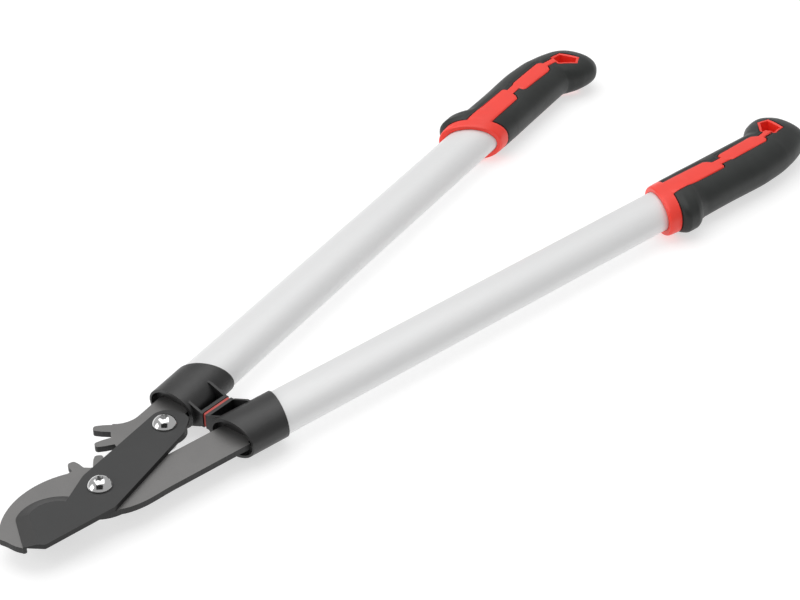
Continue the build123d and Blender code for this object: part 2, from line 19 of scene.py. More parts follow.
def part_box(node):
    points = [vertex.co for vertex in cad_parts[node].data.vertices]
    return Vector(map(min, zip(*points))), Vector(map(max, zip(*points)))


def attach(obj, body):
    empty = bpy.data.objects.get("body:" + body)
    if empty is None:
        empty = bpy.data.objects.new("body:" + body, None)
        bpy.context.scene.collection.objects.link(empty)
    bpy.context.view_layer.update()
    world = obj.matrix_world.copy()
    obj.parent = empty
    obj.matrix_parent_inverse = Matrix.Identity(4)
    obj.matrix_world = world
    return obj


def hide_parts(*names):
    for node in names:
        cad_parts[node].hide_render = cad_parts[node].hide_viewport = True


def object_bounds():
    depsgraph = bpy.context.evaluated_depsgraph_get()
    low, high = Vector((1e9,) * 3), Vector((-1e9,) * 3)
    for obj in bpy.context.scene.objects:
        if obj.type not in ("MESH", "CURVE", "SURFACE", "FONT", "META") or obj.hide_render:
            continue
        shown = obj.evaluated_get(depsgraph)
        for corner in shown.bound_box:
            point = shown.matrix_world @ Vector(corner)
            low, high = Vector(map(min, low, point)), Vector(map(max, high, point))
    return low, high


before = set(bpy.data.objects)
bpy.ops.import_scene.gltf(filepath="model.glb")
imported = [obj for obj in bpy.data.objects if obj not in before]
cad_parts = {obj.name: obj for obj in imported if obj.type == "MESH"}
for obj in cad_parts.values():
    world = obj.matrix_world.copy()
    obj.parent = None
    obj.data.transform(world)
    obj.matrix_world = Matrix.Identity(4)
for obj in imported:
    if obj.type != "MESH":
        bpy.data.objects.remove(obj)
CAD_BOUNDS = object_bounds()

LOG = logging.getLogger("lopper")
MM = 0.001
# Edges with a larger angle than this, in degrees, are rounded.
ROUNDED_ABOVE = 40.0
# The star recess: its lobes, their depth as a share of its radius, and points round it.
LOBES = 6
LOBE_DEPTH = 0.16
LOBE_POINTS = 96


class Side(Enum):
    """The two handles, with the sign of Y that each lies on."""

    UPPER = 1
    LOWER = -1

    @property
    def body(self) -> str:
        """Name of the CAD body that this handle's pieces ride on."""
        return f"{self.name.lower()}_handle"

    def node(self, piece: str) -> str:
        """Name of this handle's copy of a CAD node."""
        return f"{self.name.lower()}_{piece}"


class Grain(Enum):
    """Ways that a surface's fine marks run."""

    EVEN = (1.0, 1.0, 1.0)
    ALONG_X = (0.06, 1.0, 1.0)
    ACROSS_EDGE = (1.0, 1.0, 0.05)


# --- shader maths -------------------------------------------------------------------------------


class Value:
    """A shader socket that Python's operators work on, by adding Math nodes."""

    def __init__(self, kit: "Kit", socket: bpy.types.NodeSocket) -> None:
        """Wraps a socket.

        Args:
            kit: The node kit that owns the socket's tree.
            socket: An output socket.
        """
        self.kit = kit
        self.socket = socket

    def maths(self, operation: str, *values: Any) -> "Value":
        """Adds one Math node.

        Args:
            operation: The node's operation.
            values: Its inputs, in order.

        Returns:
            The node's output.
        """
        return self.kit.node("ShaderNodeMath", {"operation": operation}, dict(enumerate(values)))

    def __add__(self, other: Any) -> "Value":
        """self + other."""
        return self.maths("ADD", self, other)

    __radd__ = __add__

    def __sub__(self, other: Any) -> "Value":
        """self - other."""
        return self.maths("SUBTRACT", self, other)

    def __rsub__(self, other: Any) -> "Value":
        """other - self."""
        return self.maths("SUBTRACT", other, self)

    def __mul__(self, other: Any) -> "Value":
        """self * other."""
        return self.maths("MULTIPLY", self, other)

    __rmul__ = __mul__

    def size(self) -> "Value":
        """The value without its sign."""
        return self.maths("ABSOLUTE", self)

    def ramp(self, low: float, high: float) -> "Value":
        """Smooth step of this value.

        Args:
            low: Where the step is 0.
            high: Where the step is 1.

        Returns:
            A value from 0 to 1.
        """
        sockets = {"Value": self, "From Min": low, "From Max": high}
        return self.kit.node("ShaderNodeMapRange", {"interpolation_type": "SMOOTHSTEP"}, sockets)


class Kit:
    """Builds one material's nodes."""

    def __init__(self, name: str) -> None:
        """Makes an empty material with a Principled shader.

        Args:
            name: The material's name.
        """
        self.material = bpy.data.materials.new(name)
        self.material.use_nodes = True
        self.tree = self.material.node_tree
        self.shader = self.tree.nodes["Principled BSDF"]

    def node(
        self, kind: str, settings: dict[str, Any], sockets: dict[Any, Any], output: Any = 0
    ) -> Value:
        """Adds any node.

        Args:
            kind: The node's type.
            settings: Its properties, set first.
            sockets: Its inputs by name or index, as numbers, colours or Values.
            output: Name or index of the output to return.

        Returns:
            The chosen output.
        """
        made = self.tree.nodes.new(kind)
        for key, setting in settings.items():
            setattr(made, key, setting)
        for key, given in sockets.items():
            if isinstance(given, Value):
                self.tree.links.new(given.socket, made.inputs[key])
            else:
                made.inputs[key].default_value = given
        return Value(self, made.outputs[output])

    def place(self) -> Value:
        """Point of the surface in the row frame, at rest."""
        return self.node("ShaderNodeTexCoord", {}, {}, "Object")

    def part(self, vector: Value, axis: str) -> Value:
        """One component, "X", "Y" or "Z", of a vector."""
        return self.node("ShaderNodeSeparateXYZ", {}, {0: vector}, axis)

    def facing(self, axis: str) -> Value:
        """One component of the surface's own normal."""
        return self.part(self.node("ShaderNodeTexCoord", {}, {}, "Normal"), axis)

    def noise(self, scale: float, detail: float, grain: Grain = Grain.EVEN) -> Value:
        """Noise from 0 to 1.

        Args:
            scale: Features per metre.
            detail: Finer layers.
            grain: Which way the marks are drawn out.

        Returns:
            The noise.
        """
        stretched = self.node(
            "ShaderNodeVectorMath", {"operation": "MULTIPLY"}, {0: self.place(), 1: grain.value}
        )
        sockets = {"Vector": stretched, "Scale": scale, "Detail": detail, "Roughness": 0.6}
        return self.node("ShaderNodeTexNoise", {}, sockets, "Fac")

    def blend(self, factor: Any, first: Any, second: Any) -> Value:
        """Mix of two colours.

        Args:
            factor: 0 for the first colour and 1 for the second.
            first: A colour or Value.
            second: A colour or Value.

        Returns:
            The mixed colour.
        """
        return self.node(
            "ShaderNodeMix", {"data_type": "RGBA"}, {0: factor, 6: first, 7: second}, 2
        )

    def bump(self, height: Value, depth: float, strength: float) -> Value:
        """Bumped normal.

        Args:
            height: Relief from 0 to 1.
            depth: How deep that relief is, in metres.
            strength: Share of the effect.

        Returns:
            The normal.
        """
        return self.node(
            "ShaderNodeBump", {}, {"Strength": strength, "Distance": depth, "Height": height}
        )

    def finish(self, **sockets: Any) -> bpy.types.Material:
        """Sets the shader's sockets.

        Args:
            sockets: Values, numbers or colours, with underscores for the spaces in a name.

        Returns:
            The material.
        """
        for key, given in sockets.items():
            socket = self.shader.inputs[key.replace("_", " ")]
            if isinstance(given, Value):
                self.tree.links.new(given.socket, socket)
            else:
                socket.default_value = given
        return self.material


def grey(value: float, warmth: float = 0.0) -> tuple[float, float, float, float]:
    """A near-grey colour.

    Args:
        value: Its brightness.
        warmth: Added to red and taken from blue, as a share.

    Returns:
        The colour with alpha 1.
    """
    return (value * (1 + warmth), value, value * (1 - warmth), 1.0)


# --- finishes -----------------------------------------------------------------------------------


@dataclass(frozen=True)
class Finish:
    """A surface finish, and the name of the material slot that it belongs to."""

    name: str
    slot: str

    def paint(self, kit: Kit) -> bpy.types.Material:
        """Builds the material's nodes.

        Args:
            kit: An empty material's kit.

        Returns:
            The material.
        """
        raise NotImplementedError

    def material(self) -> bpy.types.Material:
        """The material, made once."""
        return bpy.data.materials.get(self.name) or self.paint(Kit(self.name))


@dataclass(frozen=True)
class SatinSteel(Finish):
    """Tumbled, hardened steel plate, with its sides painted dark as painted shade."""

    face: float = 0.195
    # Colour of the plate's sides: painted shade, far darker than the faces.
    edge: float = 0.03
    cloud_scale: float = 55.0
    fleck_scale: float = 2600.0
    scratch_scale: float = 900.0
    striation_scale: float = 1500.0
    relief_depth: float = 0.02

    def paint(self, kit: Kit) -> bpy.types.Material:
        """Flecked satin faces, and striated sides darkened with painted shade.

        Args:
            kit: An empty material's kit.

        Returns:
            The material.
        """
        # Faces that look up keep the face colour; the sides, picked by their normal, take the dark
        # side colour as painted shade.
        flat = kit.facing("Z").size().ramp(0.55, 0.85)
        cloud = kit.noise(self.cloud_scale, 4.0)
        fleck = kit.noise(self.fleck_scale, 2.0)
        scratch = kit.noise(self.scratch_scale, 3.0, Grain.ALONG_X)
        striation = kit.noise(self.striation_scale, 2.0, Grain.ACROSS_EDGE)
        face = kit.blend(cloud, grey(self.face * 0.88, 0.012), grey(self.face * 1.12, 0.02))
        face = kit.blend(fleck.ramp(0.35, 0.75) * 0.3, face, grey(self.face * 0.7, 0.01))
        # The sides' colour with its striations: painted shade.
        edge = kit.blend(striation, grey(self.edge * 0.5), grey(self.edge * 1.7))
        relief = scratch * 0.5 + fleck * 0.5 + striation * (1 - flat)
        return kit.finish(
            Base_Color=kit.blend(flat, edge, face),
            Metallic=0.35 + 0.25 * flat,
            Roughness=0.5 - 0.08 * flat + 0.12 * cloud,
            Normal=kit.bump(relief, self.relief_depth * MM, 0.5),
        )


@dataclass(frozen=True)
class CoatedBlade(Finish):
    """Low-friction charcoal coating, thinner and paler on the ground bevel and at the edge."""

    coat: float = 0.036
    bevel: float = 0.068
    cloud_scale: float = 40.0
    grain_scale: float = 3200.0
    honing_scale: float = 1200.0
    relief_depth: float = 0.012

    def paint(self, kit: Kit) -> bpy.types.Material:
        """Dark coating, with a paler honed bevel and sides darkened with painted shade.

        Args:
            kit: An empty material's kit.

        Returns:
            The material.
        """
        tilt = kit.facing("Z")
        bevelled = tilt.ramp(0.80, 0.88) * (1 - tilt.ramp(0.96, 0.99))
        # The blade's sides, picked by their normal, are darkened to a third of the coat: painted
        # shade.
        side = 1 - tilt.size().ramp(0.3, 0.6)
        cloud = kit.noise(self.cloud_scale, 4.0)
        grain = kit.noise(self.grain_scale, 2.0)
        honing = kit.noise(self.honing_scale, 3.0, Grain.ALONG_X)
        colour = kit.blend(cloud, grey(self.coat * 0.86, -0.01), grey(self.coat * 1.1, -0.005))
        colour = kit.blend(bevelled * (0.55 + 0.3 * honing), colour, grey(self.bevel, 0.01))
        # Painted shade on the sides.
        colour = kit.blend(side, colour, grey(self.coat * 0.3))
        return kit.finish(
            Base_Color=colour,
            Metallic=0.15 + 0.35 * bevelled,
            Roughness=0.46 + 0.1 * grain - 0.1 * bevelled,
            Specular_IOR_Level=0.45,
            Normal=kit.bump(grain + honing * bevelled * 0.5, self.relief_depth * MM, 0.6),
        )


@dataclass(frozen=True)
class BrightPlate(Finish):
    """Polished or zinc-plated hardware with hairline marks."""

    tone: float = 0.72
    roughness: float = 0.09
    smudge_scale: float = 300.0
    hairline_scale: float = 5200.0
    relief_depth: float = 0.004

    def paint(self, kit: Kit) -> bpy.types.Material:
        """Near-mirror metal with faint smudges.

        Args:
            kit: An empty material's kit.

        Returns:
            The material.
        """
        smudge = kit.noise(self.smudge_scale, 3.0)
        hairline = kit.noise(self.hairline_scale, 2.0)
        return kit.finish(
            Base_Color=kit.blend(smudge, grey(self.tone * 0.96), grey(self.tone)),
            Metallic=1.0,
            Roughness=self.roughness + 0.05 * smudge.ramp(0.4, 0.8),
            Normal=kit.bump(hairline, self.relief_depth * MM, 0.3),
        )


@dataclass(frozen=True)
class MouldedPlastic(Finish):
    """Injection-moulded plastic with a spark-eroded grain."""

    colour: tuple[float, float, float] = (0.05, 0.05, 0.05)
    roughness: float = 0.5
    grain_scale: float = 2200.0
    grain_depth: float = 0.02
    flow_scale: float = 35.0

    def paint(self, kit: Kit) -> bpy.types.Material:
        """One colour, varied a little by the flow, under a fine grain.

        Args:
            kit: An empty material's kit.

        Returns:
            The material.
        """
        grain = kit.noise(self.grain_scale, 3.0)
        flow = kit.noise(self.flow_scale, 3.0)
        dark = (*(0.88 * part for part in self.colour), 1.0)
        light = (*(1.12 * part for part in self.colour), 1.0)
        return kit.finish(
            Base_Color=kit.blend(flow, dark, light),
            Roughness=self.roughness + 0.14 * grain - 0.08 * flow,
            Specular_IOR_Level=0.5,
            Normal=kit.bump(grain, self.grain_depth * MM, 0.6),
        )


@dataclass(frozen=True)
class MouldedCollar(Finish):
    """Filled nylon with draw lines, scuffs and shallow shrinkage where its walls meet."""

    tone: float = 0.013
    roughness: float = 0.34
    grain_scale: float = 2200.0
    shrink_scale: float = 95.0
    scuff_scale: float = 60.0
    relief_depth: float = 0.09

    def paint(self, kit: Kit) -> bpy.types.Material:
        """Near-black nylon with scuffs and sunk marks.

        Args:
            kit: An empty material's kit.

        Returns:
            The material.
        """
        grain = kit.noise(self.grain_scale, 3.0)
        shrink = kit.noise(self.shrink_scale, 2.0)
        drawn = kit.noise(self.grain_scale, 2.0, Grain.ALONG_X)
        scuff = kit.noise(self.scuff_scale, 5.0).ramp(0.5, 0.75)
        dark, light = (grey(share * self.tone) for share in (0.85, 1.9))
        return kit.finish(
            Base_Color=kit.blend(scuff * 0.6 + grain * 0.2, dark, light),
            Roughness=self.roughness + 0.1 * grain + 0.12 * scuff,
            Specular_IOR_Level=0.6,
            Normal=kit.bump(
                shrink * 3.0 + drawn * 0.4 + grain * 0.5, self.relief_depth * MM, 0.7
            ),
        )


@dataclass(frozen=True)
class SatinTube(Finish):
    """Off-white satin anodised tube with faint drawing lines along it."""

    tone: float = 0.78
    drawn_scale: float = 1400.0
    cloud_scale: float = 18.0
    fleck_scale: float = 3500.0
    relief_depth: float = 0.006

    def paint(self, kit: Kit) -> bpy.types.Material:
        """Pale metal with faint lines along the tube.

        Args:
            kit: An empty material's kit.

        Returns:
            The material.
        """
        drawn = kit.noise(self.drawn_scale, 2.0, Grain.ALONG_X)
        cloud = kit.noise(self.cloud_scale, 3.0)
        fleck = kit.noise(self.fleck_scale, 1.0)
        colour = kit.blend(cloud, grey(self.tone * 0.985, -0.004), grey(self.tone))
        colour = kit.blend(drawn.ramp(0.3, 0.8) * 0.16, colour, grey(self.tone * 0.9))
        return kit.finish(
            Base_Color=colour,
            Metallic=0.12,
            Roughness=0.36 + 0.1 * drawn + 0.05 * fleck,
            Normal=kit.bump(drawn * 0.6 + fleck * 0.4, self.relief_depth * MM, 0.5),
        )


@dataclass(frozen=True)
class SoftRubber(Finish):
    """Soft-touch overmoulding: fine stipple, handling sheen and paler high spots."""

    colour: tuple[float, float, float] = (0.0125, 0.0145, 0.0135)
    rub: tuple[float, float, float] = (0.024, 0.027, 0.0255)
    stipple_scale: float = 1500.0
    dust_scale: float = 3800.0
    wear_scale: float = 28.0
    relief_depth: float = 0.03

    def paint(self, kit: Kit) -> bpy.types.Material:
        """Stippled rubber with paler, rubbed spots.

        Args:
            kit: An empty material's kit.

        Returns:
            The material.
        """
        settings = {"feature": "SMOOTH_F1"}
        sockets = {"Vector": kit.place(), "Scale": self.stipple_scale, "Smoothness": 0.4}
        stipple = kit.node("ShaderNodeTexVoronoi", settings, sockets, "Distance")
        dust = kit.noise(self.dust_scale, 3.0)
        wear = kit.noise(self.wear_scale, 4.0).ramp(0.35, 0.75)
        colour = kit.blend(wear * 0.6 + dust * 0.15, (*self.colour, 1.0), (*self.rub, 1.0))
        return kit.finish(
            Base_Color=colour,
            Roughness=0.46 - 0.08 * wear + 0.08 * dust,
            Specular_IOR_Level=0.4,
            Sheen_Weight=0.03,
            Normal=kit.bump(dust * 0.4 - stipple * 1.2, self.relief_depth * MM, 0.5),
        )


LEVER_STEEL = SatinSteel("satin_lever_steel", "lever_steel")
BLADE_COAT = CoatedBlade("charcoal_blade_coating", "blade_steel")
CHROME = BrightPlate("bright_bolt_plating", "bolt_chrome")
ZINC = BrightPlate("zinc_plating", "zinc_steel", 0.62, 0.28)
BUSH_STEEL = BrightPlate("turned_bush_steel", "bush_steel", 0.5, 0.32)
NYLON = MouldedPlastic("natural_nylon", "ring_nylon", (0.7, 0.7, 0.64), 0.45, 900.0)
COLLAR_NYLON = MouldedCollar("black_filled_nylon", "collar_plastic")
TANG_NYLON = MouldedPlastic("tang_nylon", "core_plastic", (0.05, 0.05, 0.05), 0.5)
TUBE = SatinTube("satin_white_tube", "tube_aluminium")
GRIP_RED = MouldedPlastic(
    "signal_red_moulding", "grip_red", (0.92, 0.046, 0.028), 0.34, 1600.0, 0.008
)
GRIP_RUBBER = SoftRubber("dark_soft_grip", "grip_dark")
PAD_RUBBER = SoftRubber(
    "red_bumper_rubber", "pad_rubber", (0.45, 0.05, 0.04), (0.62, 0.13, 0.11), 2400.0
)


# --- meshes -------------------------------------------------------------------------------------


def new_object(name: str, points: np.ndarray, faces: list[tuple[int, ...]]) -> bpy.types.Object:
    """Makes a mesh object in the scene.

    Args:
        name: The object's name.
        points: Its vertices, in metres.
        faces: Vertex numbers of each face.

    Returns:
        The object.
    """
    mesh = bpy.data.meshes.new(name)
    mesh.from_pydata([tuple(point) for point in points], [], faces)
    mesh.validate()
    made = bpy.data.objects.new(name, mesh)
    bpy.context.scene.collection.objects.link(made)
    return made


def prism_mesh(
    plan: np.ndarray, low: float, high: float
) -> tuple[np.ndarray, list[tuple[int, ...]]]:
    """An upright prism on a plan outline.

    Args:
        plan: Its corners, one per row, either way round.
        low: Its foot's height.
        high: Its top's height.

    Returns:
        Its points and faces.
    """
    following = np.roll(plan, -1, axis=0)
    if np.sum(plan[:, 0] * following[:, 1] - following[:, 0] * plan[:, 1]) < 0:
        plan = plan[::-1]
    count = len(plan)
    points = np.vstack([np.c_[plan, np.full(count, low)], np.c_[plan, np.full(count, high)]])
    faces = [tuple(range(count))[::-1], tuple(range(count, 2 * count))]
    for corner in range(count):
        after = (corner + 1) % count
        faces.append((corner, after, after + count, corner + count))
    return points, faces


def lathe_mesh(profile: np.ndarray, turns: int) -> tuple[np.ndarray, list[tuple[int, ...]]]:
    """A turned solid about the Z axis.

    Args:
        profile: Radius and height of each ring, upwards, without the two ends on the axis.
        turns: Points in a ring.

    Returns:
        Its points and faces.
    """
    angle = np.linspace(0, 2 * math.pi, turns, endpoint=False)
    rings = [
        np.c_[radius * np.cos(angle), radius * np.sin(angle), np.full(turns, height)]
        for radius, height in profile
    ]
    ends = np.array([(0.0, 0.0, profile[0][1]), (0.0, 0.0, profile[-1][1])])
    faces = []
    top = (len(profile) - 1) * turns
    for turn in range(turns):
        after = (turn + 1) % turns
        for ring in range(0, top, turns):
            faces.append((ring + turn, ring + after, ring + turns + after, ring + turns + turn))
        faces.append((len(profile) * turns, after, turn))
        faces.append((len(profile) * turns + 1, top + turn, top + after))
    return np.vstack([*rings, ends]), faces


def combine(first: bpy.types.Object, second: bpy.types.Object, operation: str) -> None:
    """Replaces the first object's mesh by a boolean with the second.

    Args:
        first: The object that changes.
        second: The tool, which stays.
        operation: "UNION", "DIFFERENCE" or "INTERSECT".
    """
    step = first.modifiers.new("combine", "BOOLEAN")
    step.object = second
    step.operation = operation
    step.solver = "MANIFOLD"
    graph = bpy.context.evaluated_depsgraph_get()
    result = bpy.data.meshes.new_from_object(first.evaluated_get(graph))
    first.modifiers.remove(step)
    first.data = result


def smooth(piece: bpy.types.Object, sharp_degrees: float = 38.0) -> None:
    """Shades a piece smooth, and keeps its sharper edges.

    Args:
        piece: The object.
        sharp_degrees: Angle above which an edge stays sharp.
    """
    piece.data.shade_smooth()
    piece.data.set_sharp_from_angle(angle=math.radians(sharp_degrees))


def soften(piece: bpy.types.Object, width: float, segments: int) -> None:
    """Rounds a piece's edges with a bevel.

    Args:
        piece: The object.
        width: The bevel's width, in metres.
        segments: Rows of faces in the bevel.
    """
    bevel = piece.modifiers.new("soften", "BEVEL")
    bevel.width = width
    bevel.segments = segments
    bevel.limit_method = "ANGLE"
    bevel.angle_limit = math.radians(ROUNDED_ABOVE)
    bevel.harden_normals = True


def dress(piece: bpy.types.Object, finish: Finish) -> None:
    """Gives a piece its material, as its only one.

    Args:
        piece: A CAD node or a new piece.
        finish: Its finish.
    """
    if not piece.material_slots:
        piece.data.materials.append(None)
    for slot in piece.material_slots:
        slot.material = finish.material()
    LOG.info("%s wears %s", piece.name, finish.name)


@dataclass
class CadDress:
    """A finish and edge rounding for CAD nodes that are shown as they are."""

    finish: Finish
    nodes: tuple[str, ...]
    edge: float = 0.0
    segments: int = 2

    def apply(self) -> None:
        """Dresses and softens each node."""
        for name in self.nodes:
            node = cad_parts[name]
            dress(node, self.finish)
            if self.edge:
                soften(node, self.edge, self.segments)


# --- grips --------------------------------------------------------------------------------------


@dataclass
class GripForm:
    """Outer form and colour split of a grip, in millimetres along and across its tube."""

    origin: tuple[float, float] = (122.9, 30.8)
    angle: float = 8.58
    front: float = 346.5
    front_slant: float = 0.455
    ring_width: float = 11.0
    slant_fades: tuple[float, float] = (366.0, 402.0)
    # Stations: distance, outer side, inner side, half height.
    stations: tuple[tuple[float, float, float, float], ...] = (
        (346.5, 20.9, 20.2, 13.7),
        (347.6, 21.7, 20.7, 14.2),
        (350.0, 22.3, 20.9, 14.4),
        (357.5, 23.1, 21.0, 14.6),
        (360.5, 26.2, 21.2, 14.9),
        (364.5, 28.7, 21.3, 15.1),
        (371.0, 28.8, 21.3, 15.1),
        (374.0, 27.3, 21.4, 14.9),
        (377.0, 23.9, 21.4, 14.6),
        (382.0, 22.4, 21.4, 14.4),
        (402.0, 22.2, 21.4, 14.2),
        (436.0, 22.7, 21.4, 14.4),
        (455.0, 21.3, 21.4, 14.3),
        (463.0, 20.3, 21.8, 14.1),
        (468.0, 19.4, 25.6, 13.9),
        (475.0, 17.9, 30.0, 13.6),
        (487.0, 14.0, 32.8, 12.6),
        (495.0, 10.6, 30.2, 10.6),
        (499.5, 7.0, 26.2, 8.4),
        (502.2, 1.6, 20.2, 5.0),
        (503.3, -6.0, 12.0, 2.0),
    )
    fullness: float = 2.25
    strip: tuple[tuple[float, float], ...] = (
        (340.0, 7.2), (408.0, 7.2), (409.6, 5.8), (409.8, 3.2), (419.0, 3.2), (421.5, 4.4),
        (458.0, 3.7), (460.8, 1.8), (461.4, -0.9), (474.0, -3.0), (474.0, -9.0), (464.5, -6.4),
        (459.5, -5.4), (456.0, -9.0), (452.0, -9.5), (419.5, -7.9), (417.2, -6.6), (416.6, -3.3),
        (406.8, -3.4), (405.4, -6.6), (402.6, -9.2), (350.0, -9.6), (340.0, -9.6),
    )
    strip_floor: float = 9.0
    hole: tuple[tuple[float, float], ...] = (
        (469.8, -10.0), (474.6, -2.6), (483.4, -4.2), (485.2, -17.4), (479.0, -19.6),
    )
    frame_width: float = 1.8
    seam_depth: float = 0.55
    seam_reach: float = 0.75
    seam_curve: float = 1.5
    lip_depth: float = 1.1
    lip_reach: float = 1.8
    # The tube's hollow: half width, half height and where it ends.
    tube: tuple[float, float, float] = (17.95, 11.45, 462.2)
    gap: float = 0.8
    gap_floor: float = 12.0
    # What the ring's gap leaves round the tube: half width and half height.
    gap_rod: tuple[float, float] = (19.9, 12.9)
    # The step beside the strip: distance from the strip, run and depth.
    panel_edge: tuple[float, float, float] = (2.4, 1.0, 0.75)
    # Cutting tools start ahead of the grip and reach past its faces.
    rod_start: float = 300.0
    tool_reach: float = 60.0
    rod_sides: int = 128
    along_steps: int = 300
    around_steps: int = 208
    # How far the rings' spacing narrows towards the rear end, as a share.
    crowding: float = 0.06
    # A distance that no seam or lip reaches, for the grip's flanks.
    far: float = 99.0

    def to_row(
        self, along: np.ndarray, across: np.ndarray, up: np.ndarray, side: Side
    ) -> np.ndarray:
        """Turns handle coordinates into the row frame.

        Args:
            along: Distances along the tube, in millimetres.
            across: Distances outwards.
            up: Heights.
            side: Which handle.

        Returns:
            Points in metres.
        """
        cos, sin = math.cos(math.radians(self.angle)), math.sin(math.radians(self.angle))
        x = self.origin[0] + along * cos - across * sin
        y = (self.origin[1] + along * sin + across * cos) * side.value
        return np.stack([x, y, up], axis=-1) * MM

    def _interpolate(self, places: np.ndarray, column: int) -> np.ndarray:
        """Monotone cubic through the stations.

        Args:
            places: Distances where the value is wanted.
            column: The station's column.

        Returns:
            The values.
        """
        table = np.array(self.stations)
        known, values = table[:, 0], table[:, column]
        step = np.diff(known)
        slope = np.diff(values) / step
        tangent = np.zeros_like(values)
        tangent[0], tangent[-1] = slope[0], slope[-1]
        before, after = slope[:-1], slope[1:]
        near, away = 2 * step[1:] + step[:-1], step[1:] + 2 * step[:-1]
        same = before * after > 0
        safe_before, safe_after = np.where(same, before, 1.0), np.where(same, after, 1.0)
        harmonic = (near + away) / (near / safe_before + away / safe_after)
        tangent[1:-1] = np.where(same, harmonic, 0.0)
        cell = np.clip(np.searchsorted(known, places) - 1, 0, len(step) - 1)
        share = (places - known[cell]) / step[cell]
        start_value, start_slope = (1 + 2 * share) * (1 - share) ** 2, share * (1 - share) ** 2
        end_value, end_slope = share * share * (3 - 2 * share), share * share * (share - 1)
        return (
            start_value * values[cell] + start_slope * step[cell] * tangent[cell]
            + end_value * values[cell + 1] + end_slope * step[cell] * tangent[cell + 1]
        )

    @staticmethod
    def _distance(points: np.ndarray, outline: tuple[tuple[float, float], ...]) -> np.ndarray:
        """Signed distance to a closed outline, negative inside.

        Args:
            points: Plan points, one per row.
            outline: The outline's corners.

        Returns:
            The distances.
        """
        corners = np.array(outline)
        nearest = np.full(len(points), np.inf)
        inside = np.zeros(len(points), dtype=bool)
        for start, end in zip(corners, np.roll(corners, -1, axis=0)):
            edge, offset = end - start, points - start
            share = np.clip(offset @ edge / (edge @ edge), 0, 1)
            nearest = np.minimum(nearest, np.hypot(*(offset - share[:, None] * edge).T))
            crosses = (start[1] > points[:, 1]) != (end[1] > points[:, 1])
            rise = end[1] - start[1] or 1e-9
            crossing = (points[:, 1] - start[1]) / rise * edge[0] + start[0]
            inside ^= crosses & (points[:, 0] < crossing)
        return np.where(inside, -nearest, nearest)

    def surface(self, side: Side) -> tuple[np.ndarray, list[tuple[int, ...]]]:
        """The grip's whole outer form as a closed mesh, in handle coordinates.

        Args:
            side: Which handle; the line beside the strip is on the same hand of both.

        Returns:
            Its points and faces.
        """
        first, last = self.stations[0][0], self.stations[-1][0]
        share = np.linspace(0, 1, self.along_steps)
        drawn = (1 - self.crowding) * share + self.crowding * np.sin(share * math.pi / 2)
        places = first + (last - first) * drawn
        places[-1] = last
        outer, inner, high = (self._interpolate(places, column)[:, None] for column in (1, 2, 3))
        angle = np.linspace(0, 2 * math.pi, self.around_steps, endpoint=False)[None, :]
        power = 2 / self.fullness
        cos, sin = np.cos(angle), np.sin(angle)
        middle, half = (outer - inner) / 2, (outer + inner) / 2
        across = middle + half * np.sign(cos) * np.abs(cos) ** power
        up = high * np.sign(sin) * np.abs(sin) ** power
        start, stop = self.slant_fades
        fade = 1 - np.clip((places[:, None] - start) / (stop - start), 0, 1)
        slant = self.front_slant * fade * fade * (3 - 2 * fade)
        along = places[:, None] - slant * across
        plan = np.stack([along.ravel(), across.ravel()], axis=1)
        raised = (np.abs(up) > self.strip_floor).ravel()
        ring = np.broadcast_to(places[:, None] - self.front - self.ring_width, along.shape).ravel()
        hole = self._distance(plan, self.hole)
        strip = np.where(raised, self._distance(plan, self.strip), self.far)
        border = np.where(raised, hole - self.frame_width, self.far)
        edge = np.abs(np.minimum(np.minimum(ring, strip), border))
        sink = self.seam_depth * np.clip(1 - edge / self.seam_reach, 0, 1) ** self.seam_curve
        lip = np.where(raised, np.clip(1 - np.maximum(hole, 0) / self.lip_reach, 0, 1) ** 2, 0)
        width, reach, depth = self.panel_edge
        panel = depth * np.clip((width + reach - strip) / reach, 0, 1) * np.clip(ring / reach, 0, 1)
        sink = sink + np.where((across.ravel() * side.value > 0) & (strip > 0), panel, 0)
        sink = (sink + self.lip_depth * lip).reshape(along.shape)
        radius = np.hypot(across - middle, up)
        across = across - sink * (across - middle) / radius
        up = up - sink * up / radius
        points = np.stack([along, across, up], axis=-1).reshape(-1, 3)
        ends = points.reshape(self.along_steps, self.around_steps, 3)[[0, -1]].mean(axis=1)
        points = np.vstack([points, ends])
        return points, self._grid_faces()

    def _grid_faces(self) -> list[tuple[int, ...]]:
        """Faces of the grid and of the fans that close its two ends.

        Returns:
            Point numbers of each face.
        """
        rows, turns = self.along_steps, self.around_steps
        faces = []
        for row in range(rows - 1):
            for turn in range(turns):
                after = (turn + 1) % turns
                low, high = row * turns, (row + 1) * turns
                faces.append((low + turn, high + turn, high + after, low + after))
        for turn in range(turns):
            after = (turn + 1) % turns
            faces.append((rows * turns, turn, after))
            faces.append((rows * turns + 1, (rows - 1) * turns + after, (rows - 1) * turns + turn))
        return faces

    def make(
        self, name: str, points: np.ndarray, faces: list[tuple[int, ...]], side: Side
    ) -> bpy.types.Object:
        """Makes an object from handle coordinates, with its faces outwards on either side.

        Args:
            name: The object's name.
            points: Points in handle coordinates, in millimetres.
            faces: Faces, outwards on the upper handle.
            side: Which handle.

        Returns:
            The object.
        """
        row = self.to_row(points[:, 0], points[:, 1], points[:, 2], side)
        if side is Side.LOWER:
            faces = [face[::-1] for face in faces]
        return new_object(name, row, faces)

    def prism(
        self, name: str, outline: tuple[tuple[float, float], ...], low: float, high: float, side: Side
    ) -> bpy.types.Object:
        """An upright prism on a plan outline.

        Args:
            name: The object's name.
            outline: Its corners along and across the tube.
            low: Its foot's height.
            high: Its top's height.
            side: Which handle.

        Returns:
            The object.
        """
        return self.make(name, *prism_mesh(np.array(outline), low, high), side)

